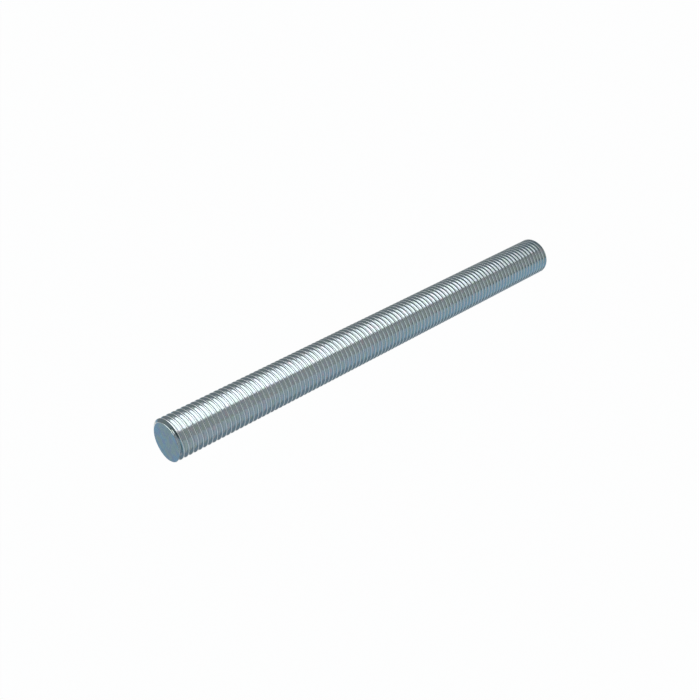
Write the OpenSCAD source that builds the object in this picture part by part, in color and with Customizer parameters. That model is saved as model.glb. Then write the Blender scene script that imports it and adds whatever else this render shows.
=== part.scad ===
// Threaded rod: a steel bar with one right-hand ISO metric thread from end to end, cut square at both ends.
// It stands on one cut end, with its axis on Z and the origin at the centre of the lower end.

/* [Thread] */
// Major diameter, measured over the crests
thread_d = 16; // [12:1:24]
// Pitch, the rise of one turn
pitch = 2; // [1.5:0.25:2.5]

/* [Rod] */
// Length between the two cut ends
rod_len = 200; // [40:10:240]
// Size of the deburred edge round each end
end_bevel = 0.2; // [0.1:0.05:0.8]

/* [Hidden] */

// ISO profile: a sharp 60 degree V, with its crest and its root cut back
half_angle = 30;
sharp_v_h = pitch / 2 / tan(half_angle);
thread_depth = sharp_v_h * 17 / 24;
crest_w = pitch / 8;

major_r = thread_d / 2;
minor_r = major_r - thread_depth;
// Radius at which the two flanks of the ridge would meet
apex_r = major_r + crest_w / 2 / tan(half_angle);

// The ridge's base is sunk into the core, so that the two solids share volume
sink = 0.15;
base_r = minor_r - sink;
base_half_w = (apex_r - base_r) * tan(half_angle);
// Corners of the ridge's section as [radius, height], from the apex down to the base
ridge_section = [[apex_r, 0], [base_r, -base_half_w], [base_r, base_half_w]];
corners = len(ridge_section);

// The ridge starts half a pitch below the lower end and runs on past the upper end
start_z = -pitch / 2;
turns = (rod_len + base_half_w - start_z) / pitch;
finest_steps = 13;
most_facets = 7900;
steps_per_turn = min(finest_steps, floor(most_facets / (2 * corners * turns)));
steps = ceil(turns * steps_per_turn);
// Chords run inside their circle, so the section stands out by half of that difference
swell = 2 / (1 + cos(180 / steps_per_turn));
curve_fn = 96;

function on_helix(corner, step) =
    let (turn = step / steps_per_turn, r = corner[0] * swell)
    [r * cos(360 * turn), r * sin(360 * turn), start_z + turn * pitch + corner[1]];

// Two triangles that join one side of the section at this step to the same side at the next
function band(step, side) =
    let (next_side = (side + 1) % corners)
    let (a = step * corners + side, b = step * corners + next_side)
    let (c = a + corners, d = b + corners)
    [[a, c, d], [a, d, b]];

module thread_ridge() {
    points = [for (step = [0:steps], corner = ridge_section) on_helix(corner, step)];
    walls = [for (step = [0:steps - 1], side = [0:corners - 1]) each band(step, side)];
    first_end = [for (i = [0:corners - 1]) i];
    last_end = [for (i = [corners - 1:-1:0]) steps * corners + i];
    polyhedron(points, concat([first_end], walls, [last_end]));
}

// Solid middle of the bar, up to the bottom of the thread
module core() {
    translate([0, 0, start_z])
        cylinder(r = minor_r, h = rod_len + pitch, $fn = curve_fn);
}

// Plain bar with bevelled ends: its side cuts the crests flat and its ends cut the thread square
module blank() {
    top_z = rod_len - end_bevel;
    rotate_extrude($fn = curve_fn)
        polygon([
            [0, 0], [major_r - end_bevel, 0], [major_r, end_bevel],
            [major_r, top_z], [major_r - end_bevel, rod_len], [0, rod_len]
        ]);
}

module threaded_rod() {
    color("slategray")
        intersection() {
            union() {
                core();
                thread_ridge();
            }
            blank();
        }
}

threaded_rod();
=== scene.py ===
"""Threaded rod, M16 x 2 by 200 mm: bright zinc-plated steel, standing on its lower cut end.

The thread is wound by a Geometry Nodes tree from the real ISO profile, and the plating is one
procedural material. The frame gives the rod's length and diameter.
"""

import math

import bpy
from mathutils import Matrix, Vector


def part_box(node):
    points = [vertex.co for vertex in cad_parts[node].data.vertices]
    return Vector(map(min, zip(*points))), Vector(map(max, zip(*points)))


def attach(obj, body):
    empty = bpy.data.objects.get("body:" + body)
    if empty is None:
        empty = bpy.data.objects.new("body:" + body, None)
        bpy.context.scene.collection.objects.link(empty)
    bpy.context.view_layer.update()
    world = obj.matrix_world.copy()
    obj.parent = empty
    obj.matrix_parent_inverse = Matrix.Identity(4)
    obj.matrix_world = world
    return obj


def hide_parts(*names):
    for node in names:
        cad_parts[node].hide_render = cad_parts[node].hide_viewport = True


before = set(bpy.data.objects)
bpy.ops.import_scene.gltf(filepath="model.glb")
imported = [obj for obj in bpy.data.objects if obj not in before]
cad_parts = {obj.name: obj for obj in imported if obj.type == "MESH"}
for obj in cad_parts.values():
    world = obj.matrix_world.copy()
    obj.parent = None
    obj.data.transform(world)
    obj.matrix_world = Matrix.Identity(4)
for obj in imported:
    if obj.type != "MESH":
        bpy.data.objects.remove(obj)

MM = 0.001


class Number:
    """A node socket that carries a number or a vector, so that sums are written as plain Python."""

    def __init__(self, graph, socket):
        self.graph = graph
        self.socket = socket

    def __add__(self, other):
        return self.graph.maths("ADD", self, other)

    __radd__ = __add__

    def __sub__(self, other):
        return self.graph.maths("SUBTRACT", self, other)

    def __rsub__(self, other):
        return self.graph.maths("SUBTRACT", other, self)

    def __mul__(self, other):
        return self.graph.maths("MULTIPLY", self, other)

    __rmul__ = __mul__

    def __truediv__(self, other):
        return self.graph.maths("DIVIDE", self, other)

    def __rtruediv__(self, other):
        return self.graph.maths("DIVIDE", other, self)


class Graph:
    """A node tree with one method that adds any node, and short names for the commonest ones."""

    def __init__(self, tree):
        self.tree = tree

    def node(self, kind, settings=None, inputs=None):
        """Adds a node: its settings first, then the value or link of each named or numbered socket."""
        made = self.tree.nodes.new(kind)
        for name, value in (settings or {}).items():
            if name == "stops":
                self._set_stops(made.color_ramp, value)
            elif name == "choices":
                self._set_choices(made, value)
            else:
                setattr(made, name, value)
        for name, value in (inputs or {}).items():
            self.feed(made.inputs[name], value)
        return made

    def feed(self, socket, value):
        if isinstance(value, Number):
            value = value.socket
        if isinstance(value, bpy.types.NodeSocket):
            self.tree.links.new(value, socket)
        else:
            socket.default_value = value

    @staticmethod
    def _set_stops(ramp, stops):
        while len(ramp.elements) < len(stops):
            ramp.elements.new(1.0)
        for element, (place, colour) in zip(ramp.elements, stops):
            element.position = place
            element.color = colour

    def _set_choices(self, switch, values):
        while len(switch.index_switch_items) < len(values):
            switch.index_switch_items.new()
        for i, value in enumerate(values):
            self.feed(switch.inputs[i + 1], value)

    def number(self, node, output=0):
        return Number(self, node.outputs[output])

    def maths(self, operation, *values):
        made = self.node("ShaderNodeMath", {"operation": operation}, dict(enumerate(values)))
        return self.number(made)

    def parts(self, vector):
        """The x, y and z of a vector as three numbers."""
        split = self.node("ShaderNodeSeparateXYZ", inputs={0: vector})
        return [self.number(split, i) for i in range(3)]

    def vector(self, x, y, z):
        return self.number(self.node("ShaderNodeCombineXYZ", inputs={0: x, 1: y, 2: z}))

    def smooth_step(self, value, low, high):
        """0 at low, 1 at high, with a soft start and end. Low may be the larger one."""
        made = self.node(
            "ShaderNodeMapRange",
            {"interpolation_type": "SMOOTHSTEP"},
            {"Value": value, "From Min": low, "From Max": high},
        )
        return self.number(made)

    def noise(self, vector, scale, detail, roughness=0.5, distortion=0.0):
        made = self.node(
            "ShaderNodeTexNoise",
            {"noise_dimensions": "3D"},
            {
                "Vector": vector,
                "Scale": scale,
                "Detail": detail,
                "Roughness": roughness,
                "Distortion": distortion,
            },
        )
        return self.number(made)

    def mix_colour(self, share, a, b, blend="MIX"):
        made = self.node(
            "ShaderNodeMix",
            {"data_type": "RGBA", "blend_type": blend},
            {0: share, 6: a, 7: b},
        )
        return self.number(made, 2)


# Size of the rod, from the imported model's own box. The radius is the box's smallest reach from the axis,
# so that the thread stays inside it.
box_low, box_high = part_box("threaded_rod")
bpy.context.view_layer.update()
ROD_R = min(box_high[0], box_high[1], -box_low[0], -box_low[1])
ROD_LENGTH = box_high[2] - box_low[2]

# ISO profile: a sharp 60 degree V, with its crest and its root cut back, and both rounded by the rolling
PITCH = 2.0 * MM
HALF_ANGLE = math.radians(30)
SHARP_V_HEIGHT = PITCH / 2 / math.tan(HALF_ANGLE)
DEPTH_SHARE = 17 / 24
THREAD_DEPTH = SHARP_V_HEIGHT * DEPTH_SHARE
CREST_WIDTH = PITCH / 8
CREST_ROUNDING = 0.12 * MM
ROOT_ROUNDING = 0.3 * MM
# Height of the first crest at bearing 0, in pitches above the lower end
START_TURN = 0.5
# Size of the deburred edge round each end
END_BEVEL = 0.2 * MM

# Fineness of the mesh: steps in a turn, rings on each end face, and how near points lie to be merged
STEPS_ROUND = 64
CAP_RINGS = 5
MERGE_WITHIN = 0.002 * MM
# Places of the mesh lines from the crest's middle to the root's, as shares of the pitch
CREST_LINES = [0.03, 0.0625, 0.095, 0.11]
ROOT_LINES = [0.32, 0.345, 0.42, 0.5]


def put(obj):
    bpy.context.scene.collection.objects.link(obj)
    return obj


def thread_tree():
    """The tree that winds the thread: strips one pitch wide, stacked along the rod and bent to shape."""
    tree = bpy.data.node_groups.new("thread_winding", "GeometryNodeTree")
    tree.is_modifier = True
    face = tree.interface
    sizes = ("Radius", "Length", "Pitch", "Depth", "Crest Width")
    softened = ("Crest Rounding", "Root Rounding", "Bevel")
    for name in sizes + softened:
        face.new_socket(name, in_out="INPUT", socket_type="NodeSocketFloat")
    for name in ("Steps Round", "Turns", "Cap Rings"):
        face.new_socket(name, in_out="INPUT", socket_type="NodeSocketInt")
    face.new_socket("Start Turn", in_out="INPUT", socket_type="NodeSocketFloat")
    face.new_socket("Plating", in_out="INPUT", socket_type="NodeSocketMaterial")
    face.new_socket("Rod", in_out="OUTPUT", socket_type="NodeSocketGeometry")

    g = Graph(tree)
    given = g.node("NodeGroupInput")
    size = {socket.name: Number(g, socket) for socket in given.outputs if socket.name}
    radius, length, pitch = size["Radius"], size["Length"], size["Pitch"]
    steps = size["Steps Round"]

    def flat_strip(rows):
        """A sheet with a column for each step round the rod: x counts the steps and y the rows."""
        sheet = g.node(
            "GeometryNodeMeshGrid",
            inputs={"Size X": steps, "Size Y": rows, "Vertices X": steps + 1, "Vertices Y": rows + 1},
        )
        x, y, _ = g.parts(g.node("GeometryNodeInputPosition").outputs[0])
        return sheet.outputs["Mesh"], x + steps / 2, y + rows / 2

    def moved(mesh, x, y, z):
        return g.node(
            "GeometryNodeSetPosition", inputs={"Geometry": mesh, "Position": g.vector(x, y, z)}
        ).outputs[0]

    def shaded(mesh, smooth):
        return g.node(
            "GeometryNodeSetShadeSmooth", inputs={"Geometry": mesh, "Shade Smooth": smooth}
        ).outputs[0]

    # One pitch of the thread as a flat strip. Until the last step, y holds the share of the full radius.
    half = CREST_LINES + ROOT_LINES
    lines = [-place for place in reversed(half)] + half
    strip, step, row = flat_strip(g.number(g.node("FunctionNodeInputInt", {"integer": len(lines) - 1})))
    row_number = g.node("FunctionNodeFloatToInt", {"rounding_mode": "ROUND"}, {0: row})
    place = g.node(
        "GeometryNodeIndexSwitch",
        {"data_type": "FLOAT", "choices": lines},
        {"Index": row_number.outputs[0]},
    )
    strip = shaded(moved(strip, step, 1.0, g.number(place) * pitch), True)

    # The strips of all the turns, from one turn below the lower end to one above the upper end
    stack = g.node(
        "GeometryNodeMeshLine",
        {"mode": "OFFSET", "count_mode": "TOTAL"},
        {
            "Count": size["Turns"] + 3,
            "Start Location": g.vector(0.0, 0.0, pitch * -2),
            "Offset": g.vector(0.0, 0.0, pitch),
        },
    )
    wound = g.node(
        "GeometryNodeInstanceOnPoints",
        inputs={"Points": stack.outputs["Mesh"], "Instance": strip},
    )
    wound = g.node("GeometryNodeRealizeInstances", inputs={0: wound.outputs[0]}).outputs[0]

    # The two end faces lie beyond the ends, and the last step draws them in to the cuts
    rings = size["Cap Rings"]
    cap, step, ring = flat_strip(rings)
    lower = shaded(moved(cap, step, ring / rings, pitch * -2), False)
    upper = shaded(moved(cap, step, ring / rings, length + pitch * 2), False)
    upper = g.node("GeometryNodeFlipFaces", inputs={0: upper}).outputs[0]
    joined = g.node("GeometryNodeJoinGeometry")
    for mesh in (wound, lower, upper):
        g.feed(joined.inputs[0], mesh)

    # Wind the sheets round the axis: each point's radius comes from its distance to the nearest crest
    x, y, z = g.parts(g.node("GeometryNodeInputPosition").outputs[0])
    turn = x / steps
    rise = pitch * (turn + size["Start Turn"])
    height = g.maths("MINIMUM", g.maths("MAXIMUM", z + rise, 0.0), length)
    from_crest = g.maths("PINGPONG", height - rise, pitch / 2)
    slope = 1 / math.tan(HALF_ANGLE)
    flank = radius + size["Crest Width"] / 2 * slope - from_crest * slope
    topped = g.maths("SMOOTH_MIN", flank, radius, size["Crest Rounding"])
    rooted = g.maths("SMOOTH_MAX", topped, radius - size["Depth"], size["Root Rounding"])
    to_end = g.maths("MINIMUM", height, length - height)
    profile = g.maths("MINIMUM", rooted, radius - size["Bevel"] + to_end)
    angle = turn * math.tau
    reach = profile * y
    wound = moved(
        joined.outputs[0],
        reach * g.maths("COSINE", angle),
        reach * g.maths("SINE", angle),
        height,
    )
    wound = g.node(
        "GeometryNodeMergeByDistance", inputs={"Geometry": wound, "Distance": MERGE_WITHIN}
    ).outputs[0]
    wound = g.node("GeometryNodeRealizeInstances", inputs={0: wound}).outputs[0]
    wound = g.node(
        "GeometryNodeSetMaterial", inputs={"Geometry": wound, "Material": size["Plating"]}
    ).outputs[0]
    g.node("NodeGroupOutput", inputs={0: wound})
    return tree


def make_rod(plating):
    """Winds the rod and turns it into a plain mesh."""
    former = put(bpy.data.objects.new("rod_former", bpy.data.meshes.new("rod_former")))
    tree = thread_tree()
    winding = former.modifiers.new("winding", "NODES")
    winding.node_group = tree
    values = {
        "Radius": ROD_R,
        "Length": ROD_LENGTH,
        "Pitch": PITCH,
        "Depth": THREAD_DEPTH,
        "Crest Width": CREST_WIDTH,
        "Crest Rounding": CREST_ROUNDING,
        "Root Rounding": ROOT_ROUNDING,
        "Bevel": END_BEVEL,
        "Steps Round": STEPS_ROUND,
        "Turns": round(ROD_LENGTH / PITCH),
        "Cap Rings": CAP_RINGS,
        "Start Turn": START_TURN,
        "Plating": plating,
    }
    for item in tree.interface.items_tree:
        if item.in_out == "INPUT":
            winding[item.identifier] = values[item.name]
    former.update_tag()
    ready = former.evaluated_get(bpy.context.evaluated_depsgraph_get())
    mesh = bpy.data.meshes.new_from_object(ready)
    bpy.data.objects.remove(former)
    mesh.name = "threaded_bar"
    return put(bpy.data.objects.new("threaded_bar", mesh))


def new_material(name):
    """An empty material and the graph of its nodes."""
    material = bpy.data.materials.new(name)
    material.use_nodes = True
    material.node_tree.nodes.clear()
    return material, Graph(material.node_tree)


# Colours of the plating. The film's tint runs through its stops, from thin to thick.
FILM_TINTS = [
    (0.30, (0.44, 0.49, 0.46, 1)),
    (0.45, (0.44, 0.48, 0.48, 1)),
    (0.58, (0.44, 0.47, 0.51, 1)),
    (0.70, (0.49, 0.47, 0.48, 1)),
]
DULL_ZINC = (0.38, 0.42, 0.43, 1)
# Painted shade: a dark colour laid into the thread's roots, where shade falls in the grooves
GROOVE_PAINTED_SHADE = (0.16, 0.18, 0.18, 1)
CREST_ZINC = (0.40, 0.42, 0.42, 1)
PALE_SAWN_ZINC = (0.47, 0.46, 0.46, 1)
DARK_SAWN_ZINC = (0.36, 0.40, 0.39, 1)
PURPLE_ZINC = (0.42, 0.36, 0.46, 1)
# Stains that multiply the colour of the cut faces
BLUE_STAIN = (0.86, 1.02, 1.14, 1)
BUFF_STAIN = (1.10, 1.04, 0.92, 1)

# Fineness of the patterns, in cells a metre
STREAKS_ALONG_HELIX = 160
CLOUD_FINENESS = 180.0
FILM_FINENESS = 420.0
SAW_FINENESS_X = 2400
SAW_FINENESS_Y = 900
SAW_FINENESS_LENGTHWAYS = 90
# Cells of the rolling streaks across one pitch, and their shift from turn to turn
STREAKS_ACROSS_PITCH = 9
STREAK_SHIFT = 0.37

# The cut faces' finish gives way to the thread's between these distances from each end
CUT_FADE = (0.02 * MM, 0.08 * MM)
# The crests' finish begins and is full at these depths below the major diameter
CREST_FADE = (0.16 * MM, 0.06 * MM)
# The roots' painted shade and rougher finish begin and are full at these shares of the thread's depth
ROOT_FADE = (0.80, 1.0)

# Where a pattern begins and where it is full, as values of its noise
DULL_CLOUDS = (0.45, 0.75)
SAW_MARKS = (0.35, 0.65)
STAIN_EDGE = (0.42, 0.58)
PURPLE_PATCHES = (0.50, 0.66)
# Share of its own colour that each finish, and the painted shade in the roots, has where it is full
DULL_SHARE = 0.25
# How much of the painted shade the roots take where it is full
GROOVE_SHADE_SHARE = 0.45
SAW_SHARE = 0.5
PURPLE_SHARE = 0.7

# Roughness of clean plating, and what each pattern and each finish adds to it
CLEAN_ROUGHNESS = 0.05
STREAK_ROUGHNESS = 0.06
CLOUD_ROUGHNESS = 0.04
ROOT_ROUGHNESS = 0.15
CREST_ROUGHNESS = 0.08
CUT_ROUGHNESS = 0.12
SAW_ROUGHNESS = 0.15

BUMP_STRENGTH = 0.12
BUMP_HEIGHT = 0.02 * MM


def zinc_plating():
    """Bright zinc with a thin blue-green film, over the rolled thread and the two sawn faces."""
    material, g = new_material("zinc_plating")
    where = g.node("ShaderNodeTexCoord").outputs["Object"]
    x, y, z = g.parts(where)
    out_from_axis = g.maths("SQRT", x * x + y * y)
    turn = g.maths("ARCTAN2", y, x) / math.tau

    # Place on the thread: how far along the helix, and how far across it from the crest's middle
    level = z / PITCH - turn - START_TURN
    ridge = g.maths("ROUND", level)
    along = (ridge + turn) * (math.tau * ROD_R)
    across = level - ridge

    # Where each finish and the painted shade in the roots lie: 1 inside and 0 outside
    from_end = g.maths("MINIMUM", z, ROD_LENGTH - z)
    thread = g.smooth_step(from_end, *CUT_FADE)
    cut = 1.0 - thread
    root_start, root_full = (ROD_R - share * THREAD_DEPTH for share in ROOT_FADE)
    root = g.smooth_step(out_from_axis, root_start, root_full) * thread
    crest_start, crest_full = (ROD_R - depth for depth in CREST_FADE)
    crest = g.smooth_step(out_from_axis, crest_start, crest_full) * thread

    streak_place = g.vector(
        along * STREAKS_ALONG_HELIX,
        across * STREAKS_ACROSS_PITCH,
        ridge * STREAK_SHIFT,
    )
    streak = g.noise(streak_place, 1.0, detail=3.0, roughness=0.55)
    cloud = g.noise(where, CLOUD_FINENESS, detail=2.0)
    film = g.noise(where, FILM_FINENESS, detail=1.0, distortion=0.4)
    saw_place = g.vector(x * SAW_FINENESS_X + y * SAW_FINENESS_Y, y * SAW_FINENESS_LENGTHWAYS, 0.0)
    saw = g.noise(saw_place, 1.0, detail=2.0, roughness=0.6)

    # The thread: dull clouds on the tinted film, painted shade darkening the roots, and crests that are
    # duller than the flanks
    tint = g.node("ShaderNodeValToRGB", {"stops": FILM_TINTS}, {"Fac": film}).outputs[0]
    flank = g.mix_colour(g.smooth_step(cloud, *DULL_CLOUDS) * DULL_SHARE, tint, DULL_ZINC)
    # Painted shade: darkens the thread's roots, where shade falls in the grooves
    rolled = g.mix_colour(root * GROOVE_SHADE_SHARE, flank, GROOVE_PAINTED_SHADE)
    rolled = g.mix_colour(crest, rolled, CREST_ZINC)

    # The cut faces: saw marks under blue, buff and purple stains
    sawn = g.mix_colour(g.smooth_step(saw, *SAW_MARKS) * SAW_SHARE, PALE_SAWN_ZINC, DARK_SAWN_ZINC)
    stain = g.mix_colour(g.smooth_step(cloud, *STAIN_EDGE), BLUE_STAIN, BUFF_STAIN)
    stained = g.mix_colour(1.0, sawn, stain, "MULTIPLY")
    stained = g.mix_colour(g.smooth_step(film, *PURPLE_PATCHES) * PURPLE_SHARE, stained, PURPLE_ZINC)

    roughness = CLEAN_ROUGHNESS + streak * STREAK_ROUGHNESS + cloud * CLOUD_ROUGHNESS
    roughness = roughness + root * ROOT_ROUGHNESS + crest * CREST_ROUGHNESS
    roughness = roughness + cut * (CUT_ROUGHNESS + saw * SAW_ROUGHNESS)
    marks = streak * thread + saw * cut
    bump = g.node(
        "ShaderNodeBump",
        inputs={"Strength": BUMP_STRENGTH, "Distance": BUMP_HEIGHT, "Height": marks},
    )
    finish = g.node(
        "ShaderNodeBsdfPrincipled",
        inputs={
            "Base Color": g.mix_colour(cut, rolled, stained),
            "Metallic": 1.0,
            "Roughness": roughness,
            "Normal": bump.outputs[0],
        },
    )
    g.node("ShaderNodeOutputMaterial", inputs={0: finish.outputs[0]})
    return material


# Half of the floor's width, in metres
FLOOR_HALF = 6.0
FLOOR_PAINT = (0.9, 0.9, 0.9, 1)
# Share of the floor's look that is plain white, whatever light falls on it
FLOOR_WHITENESS = 0.98


def floor_finish():
    """A floor that the camera and the metal see as nearly white, with a trace of the rod's shadow."""
    material, g = new_material("pale_floor")
    ray = g.node("ShaderNodeLightPath")
    kinds = ("Camera", "Glossy", "Transmission")
    camera, glossy, through = (g.number(ray, f"Is {kind} Ray") for kind in kinds)
    seen = g.maths("MINIMUM", camera + glossy + through, 1.0)
    paint = g.node("ShaderNodeBsdfDiffuse", inputs={"Color": FLOOR_PAINT})
    white = g.node("ShaderNodeEmission", inputs={"Color": (1, 1, 1, 1), "Strength": 1.0})
    both = g.node(
        "ShaderNodeMixShader",
        inputs={0: seen * FLOOR_WHITENESS, 1: paint.outputs[0], 2: white.outputs[0]},
    )
    g.node("ShaderNodeOutputMaterial", inputs={0: both.outputs[0]})
    return material


def lay_floor():
    corners = [(x * FLOOR_HALF, y * FLOOR_HALF, 0) for x, y in ((-1, -1), (1, -1), (1, 1), (-1, 1))]
    mesh = bpy.data.meshes.new("floor")
    mesh.from_pydata(corners, [], [(0, 1, 2, 3)])
    mesh.materials.append(floor_finish())
    put(bpy.data.objects.new("floor", mesh))


def toward(bearing, rise):
    """The direction at a bearing round the rod, in degrees from +X, and at an angle above level."""
    level = math.cos(math.radians(rise))
    across = math.radians(bearing)
    return Vector((level * math.cos(across), level * math.sin(across), math.sin(math.radians(rise))))


# The room's shades. Each area is laid over the ones before it: the bearing and rise of its middle, the
# angles from there up to which it is full and at which it ends, all in degrees, and its colour.
ROOM_SHADE = (0.36, 0.57, 0.72, 1)
ROOM_AREAS = [
    (285, 62, 34, 44, (0.06, 0.09, 0.09, 1)),
    (238, 42, 16, 26, (1.10, 1.40, 1.40, 1)),
    (40, 38, 26, 38, (0.27, 0.32, 0.34, 1)),
    (5, 22, 12, 20, (0.17, 0.24, 0.28, 1)),
    (135, 22, 16, 26, (0.26, 0.36, 0.43, 1)),
    (110, 10, 12, 20, (0.25, 0.32, 0.37, 1)),
    (335, 72, 12, 20, (0.20, 0.26, 0.28, 1)),
    (240, 70, 10, 18, (0.30, 0.34, 0.33, 1)),
]
# All round, the room is white from below up to the first of these sines of the angle above level. The
# white ends at the second.
WHITE_BAND = (0.07, 0.13)
BAND_SHADE = (0.98, 0.98, 0.98, 1)


def set_room_light():
    """The room that the plating mirrors: white at the horizon, blue-grey above it, and its areas."""
    world = bpy.data.worlds.new("studio")
    bpy.context.scene.world = world
    world.use_nodes = True
    world.node_tree.nodes.clear()
    g = Graph(world.node_tree)
    way = g.node("ShaderNodeTexCoord").outputs["Generated"]
    shade = ROOM_SHADE
    for bearing, rise, full, last, colour in ROOM_AREAS:
        product = g.node(
            "ShaderNodeVectorMath",
            {"operation": "DOT_PRODUCT"},
            {0: way, 1: toward(bearing, rise)},
        )
        nearness = g.number(product, "Value")
        cover = g.smooth_step(nearness, math.cos(math.radians(last)), math.cos(math.radians(full)))
        shade = g.mix_colour(cover, shade, colour)
    height = g.parts(way)[2]
    full, last = WHITE_BAND
    shade = g.mix_colour(g.smooth_step(height, last, full), shade, BAND_SHADE)
    glow = g.node("ShaderNodeBackground", inputs={"Color": shade, "Strength": 1.0})
    g.node("ShaderNodeOutputWorld", inputs={0: glow.outputs[0]})


def place_softbox(name, place, width, height, glow, colour=(1, 1, 1)):
    """An even rectangular light. Its glow is how bright the metal sees it, where 1 is plain white."""
    lamp = bpy.data.lights.new(name, "AREA")
    lamp.color = colour
    lamp.shape = "RECTANGLE"
    lamp.size = width
    lamp.size_y = height
    lamp.energy = glow * math.pi * width * height
    softbox = put(bpy.data.objects.new(name, lamp))
    softbox.matrix_world = place
    softbox.visible_camera = False


def hang_softbox(name, bearing, rise, distance, width, height, glow):
    """A softbox that faces the rod's middle."""
    way = toward(bearing, rise)
    middle = Vector((0, 0, ROD_LENGTH / 2))
    turn = way.to_track_quat("Z", "Y").to_matrix().to_4x4()
    place_softbox(name, Matrix.Translation(middle + way * distance) @ turn, width, height, glow)


def lay_light_panel(name, bearing, start, side, level, glow, colour=(1, 1, 1)):
    """A light panel that lies face up.

    One edge runs out along the bearing, from start to side as measured from the axis. The panel spreads
    from that edge by side, counterclockwise.
    """
    turn = Matrix.Rotation(math.radians(bearing), 4, "Z")
    middle = turn @ Vector(((start + side) / 2, side / 2, level))
    face_up = Matrix.Rotation(math.pi, 4, "X")
    place_softbox(name, Matrix.Translation(middle) @ turn @ face_up, side - start, side, glow, colour)


def set_lamps():
    """A softbox in front of the rod, one beside it, and three light panels just over the floor."""
    hang_softbox("key_light", bearing=313, rise=9, distance=1.0, width=1.10, height=0.34, glow=0.4)
    hang_softbox("side_light", bearing=8, rise=6, distance=1.0, width=0.60, height=0.22, glow=0.7)
    lay_light_panel("near_panel", bearing=285, start=0.02, side=1.2, level=0.002, glow=2.0)
    lay_light_panel("far_panel", bearing=290, start=0.2, side=1.2, level=0.003, glow=2.0)
    cool = (0.5, 0.7, 0.9)
    lay_light_panel("cool_panel", bearing=135, start=0.0, side=1.2, level=0.002, glow=0.45, colour=cool)


# Camera, in metres and degrees: in front of the rod and above it, turned on its side
CAMERA_AT = (0.0066, -0.3165, 0.3438)
LOOK_DOWN = 35.90
LOOK_ASIDE = 1.32
CAMERA_ROLL = -116.88
LENS_MM = 52.10
SENSOR_MM = 36.0


def set_camera():
    camera = bpy.data.cameras.new("camera")
    camera.sensor_width = SENSOR_MM
    camera.lens = LENS_MM
    holder = put(bpy.data.objects.new("camera", camera))
    holder.matrix_world = (
        Matrix.Translation(CAMERA_AT)
        @ Matrix.Rotation(math.radians(LOOK_ASIDE), 4, "Z")
        @ Matrix.Rotation(math.radians(90 - LOOK_DOWN), 4, "X")
        @ Matrix.Rotation(math.radians(CAMERA_ROLL), 4, "Z")
    )
    bpy.context.scene.camera = holder


bpy.context.scene.view_settings.view_transform = "Standard"
set_camera()
set_room_light()
set_lamps()
lay_floor()

rod = make_rod(zinc_plating())
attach(rod, "root")
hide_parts("threaded_rod")
